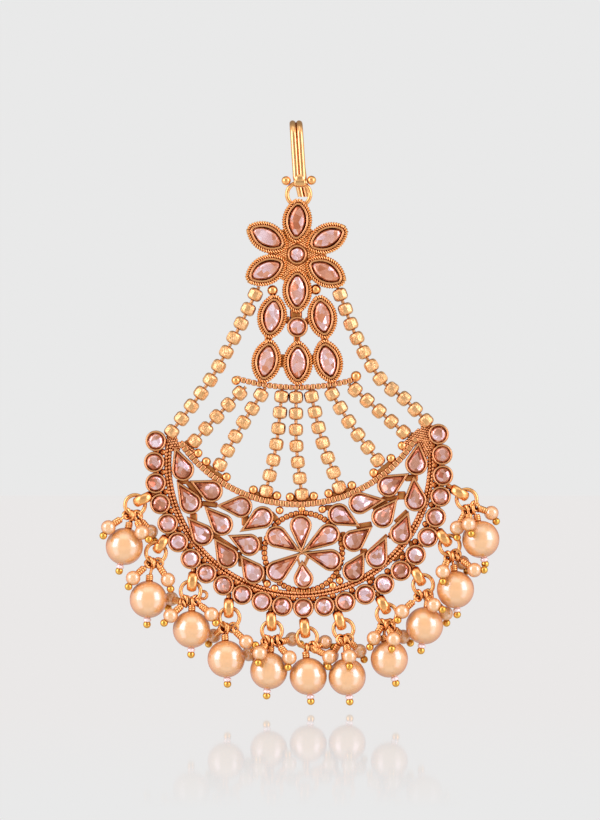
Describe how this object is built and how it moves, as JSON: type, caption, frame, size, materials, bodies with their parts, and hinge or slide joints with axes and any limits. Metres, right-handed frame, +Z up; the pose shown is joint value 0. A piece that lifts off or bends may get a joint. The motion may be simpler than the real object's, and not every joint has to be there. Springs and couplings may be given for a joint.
{
  "type": "passa head ornament",
  "caption": "Hooked side-head ornament: a flower crown over bead strings that spread to a pierced crescent, fringed with pearl drops.",
  "frame": {"origin": "inside top of the hook's bend, midway between its two legs, where the hair carries the ornament", "axes": "+Z up along the hook, the way the ornament hangs; the jewelled front faces -Y; +X to the right as seen from the front"},
  "size_m": [0.0846, 0.0129, 0.1243],
  "materials": {
    "antique_gilt": "antique gold plate on cast and soldered brass, dark in the crevices",
    "bright_gilt": "bright polished gold plate on wire, beads and findings",
    "crystal": "pale peach foil-backed faceted crystal",
    "pearl": "champagne imitation pearl with a soft lustre"
  },
  "bodies": {
    "hook": {"hair_hook": "bright_gilt"},
    "pendant": {"crown_frame": "antique_gilt", "petal_stone_1": "crystal", "petal_stone_2": "crystal", "petal_stone_3": "crystal", "petal_stone_4": "crystal", "petal_stone_5": "crystal", "petal_stone_6": "crystal", "tier_stone_1": "crystal", "tier_stone_2": "crystal", "tier_stone_3": "crystal", "tier_stone_4": "crystal", "tier_stone_5": "crystal", "crescent_frame": "antique_gilt", "flower_stone_1": "crystal", "flower_stone_2": "crystal", "flower_stone_3": "crystal", "flower_stone_4": "crystal", "flower_stone_5": "crystal", "flower_stone_6": "crystal", "string_a": "bright_gilt", "string_b": "bright_gilt", "string_c": "bright_gilt", "string_d": "bright_gilt", "string_e": "bright_gilt", "string_f": "bright_gilt", "string_g": "bright_gilt", "string_left_1": "bright_gilt", "string_left_2": "bright_gilt", "string_left_3": "bright_gilt", "string_right_1": "bright_gilt", "string_right_2": "bright_gilt", "string_right_3": "bright_gilt", "pearl_1": "pearl", "drop_1": "bright_gilt", "pearl_2": "pearl", "drop_2": "bright_gilt", "pearl_3": "pearl", "drop_3": "bright_gilt", "pearl_4": "pearl", "drop_4": "bright_gilt", "pearl_5": "pearl", "drop_5": "bright_gilt", "pearl_6": "pearl", "drop_6": "bright_gilt", "pearl_7": "pearl", "drop_7": "bright_gilt", "pearl_8": "pearl", "drop_8": "bright_gilt", "pearl_9": "pearl", "drop_9": "bright_gilt", "pearl_10": "pearl", "drop_10": "bright_gilt", "pearl_11": "pearl", "drop_11": "bright_gilt"}
  },
  "joints": [
    {"name": "pendant_swing", "type": "hinge", "parent": "hook", "child": "pendant", "pos_m": [0.00062, -0.0033, -0.0121], "axis": [1, 0, 0], "range_deg": [-90, 40]}
  ]
}
